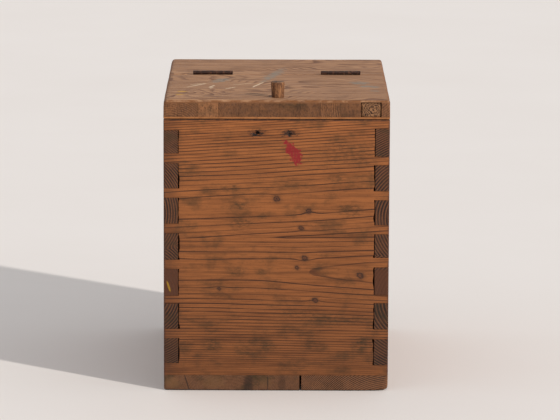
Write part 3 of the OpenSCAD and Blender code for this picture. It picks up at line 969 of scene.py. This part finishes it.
def knob_finish():
    """Dry wood with long dark streaks down its side, and a dark rim and patch on its end."""
    f = Finish("knob_wood")
    streak = f.noise((2.2 * MM, 2.2 * MM, 18 * MM), 121, 4.0, 0.65)
    patch = f.noise((6 * MM, 6 * MM, 8 * MM), 122, 4.0, 0.65)
    fine = f.noise((0.8 * MM, 0.8 * MM, 5 * MM), 123, 3.0, 0.6)
    colour = f.mix(f.band(streak, 0.36, 0.62), tint(156, 107, 68), tint(94, 57, 34))
    colour = f.mix(f.band(patch, 0.48, 0.64, 0.0, 0.7), colour, tint(58, 34, 22))
    colour = f.mix(f.band(fine, 0.5, 0.72, 0.0, 0.6), colour, tint(46, 28, 19))
    level = f.place(2)
    on_end = f.band(level, knob_high[2] - 0.7 * MM, knob_high[2] - 0.45 * MM)
    worn_end = f.mix(f.band(patch, 0.42, 0.54, 0.0, 0.9), tint(136, 102, 76), tint(50, 32, 23))
    colour = f.mix(on_end, colour, worn_end)
    height = f.math("MULTIPLY_ADD", streak, 0.7, f.math("MULTIPLY", fine, 0.5))
    return f.finish(colour, 0.72, height, 0.6 * MM)


knob_low, knob_high = limits("knob")
knob_centre = np.array([(knob_low[0] + knob_high[0]) / 2, (knob_low[1] + knob_high[1]) / 2, 0])
lid_top = lid_high[2]
top_r = (knob_high[0] - knob_low[0]) / 2
foot_r = top_r - 1.0 * MM
knob_h = knob_high[2] - lid_top
# Where the side ends and the round arris starts
side_share, rim_share, round_share = 0.94, 0.96, 0.06
levels = np.linspace(0, 1, 16)
side_rows = np.stack([foot_r + (top_r - foot_r) * levels * rim_share,
                      lid_top + knob_h * side_share * levels], 1)
arris = np.linspace(0, math.pi / 2, 6)[1:]
round_r = knob_h * round_share
arris_rows = np.stack([top_r * rim_share - round_r * (1 - np.cos(arris)),
                       lid_top + knob_h * side_share + round_r * np.sin(arris)], 1)
hollow = 0.4 * MM
cap_rows = [(top_r * share, knob_high[2] - hollow * (1 - share)) for share in (0.8, 0.6, 0.4, 0.2, 0.002)]
tenon_r = 5 * MM
seat = lid_top - 0.2 * MM
tenon_rows = [(0.01 * MM, knob_low[2]), (tenon_r, knob_low[2]), (tenon_r, seat), (foot_r * 0.97, seat)]
profile = np.concatenate([tenon_rows, side_rows, arris_rows, cap_rows])
knob_points, knob_quads = lathe(profile, 56, knob_centre, 0.018, 5)
make_piece("peg_knob", knob_points, knob_quads, "lid", ["knob"], knob_finish())


# %% [markdown]
# ## Iron
# The hinges are black iron with brown rust in the corners. The CAD leaves, pins, screws
# and nails have the right shapes, so they stay and only get their finish.

# %% Iron finishes
def iron(name, base, rust, amount, gloss):
    """Blackened iron: a dark metal with patches of dull brown rust and small pits."""
    f = Finish(name)
    patch = f.noise((4 * MM,) * 3, 131, 4.0, 0.65)
    pits = f.noise((0.7 * MM,) * 3, 132, 3.0, 0.6)
    share = f.band(patch, 0.5, 0.68, 0.0, amount)
    colour = f.mix(share, base, rust)
    colour = f.mix(f.band(pits, 0.58, 0.72, 0.0, 0.5), colour, tint(20, 15, 14))
    rough = f.math("MULTIPLY_ADD", share, 0.3, gloss)
    return f.finish(colour, rough, f.math("MULTIPLY_ADD", pits, 0.6, patch), 0.25 * MM, Metallic=0.55)


hinge_iron = iron("hinge_iron", tint(64, 47, 41), tint(124, 82, 60), 0.8, 0.40)
screw_steel = iron("screw_steel", tint(96, 84, 76), tint(86, 54, 38), 0.8, 0.4)
nail_steel = iron("nail_steel", tint(70, 60, 54), tint(96, 56, 36), 0.9, 0.5)
IRON = {"leaf": hinge_iron, "hinge_pin": hinge_iron, "screws": screw_steel, "nails": nail_steel}
for name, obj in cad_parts.items():
    for word, finish in IRON.items():
        if word in name:
            obj.data.materials.clear()
            obj.data.materials.append(finish)
            print(name, "gets", finish.name)


# %% [markdown]
# ## The studio
# A pale floor, a soft key light from the front right and a bright pale room round it.
# The camera is a long lens a little above the box, as for a catalogue.

# %% Floor, light and camera
def floor():
    """A wide pale sheet under the box, with a faint mottle."""
    mesh = bpy.data.meshes.new("studio_floor")
    wide = 6.0
    around = [(-wide, -wide, 0), (wide, -wide, 0), (wide, wide, 0), (-wide, wide, 0)]
    mesh.from_pydata(around, [], [(0, 1, 2, 3)])
    f = Finish("pale_floor")
    mottle = f.noise((0.4, 0.4, 0.4), 141, 4.0)
    mesh.materials.append(f.finish(f.mix(mottle, tint(235, 228, 222), tint(240, 234, 229)), 0.9))
    add_object("studio_floor", mesh)


def aim(direction):
    """The turn that points a light along a direction."""
    return Vector(direction).to_track_quat("-Z", "Y").to_euler()


def studio():
    """One soft sun, the room's own light, and the camera."""
    sun = bpy.data.lights.new("key_light", "SUN")
    sun.energy = 2.6
    sun.angle = math.radians(1.6)
    sun.color = (1.0, 0.97, 0.93)
    add_object("key_light", sun).rotation_euler = aim((-1.28, 1.0, -0.73))
    world = bpy.data.worlds.new("room")
    world.use_nodes = True
    glow = world.node_tree.nodes["Background"].inputs
    glow["Color"].default_value = (0.96, 0.97, 1.0, 1)
    glow["Strength"].default_value = 0.62
    bpy.context.scene.world = world
    lens = bpy.data.cameras.new("camera")
    lens.sensor_width = 36
    lens.lens = 232.07
    lens.clip_end = 50
    camera = add_object("camera", lens)
    camera.location = (-0.00365, -4.9197, 1.1038)
    camera.rotation_euler = (math.radians(79.7014), math.radians(-0.2051), math.radians(-0.0646))
    bpy.context.scene.camera = camera
    bpy.context.scene.view_settings.view_transform = "Standard"


floor()
studio()
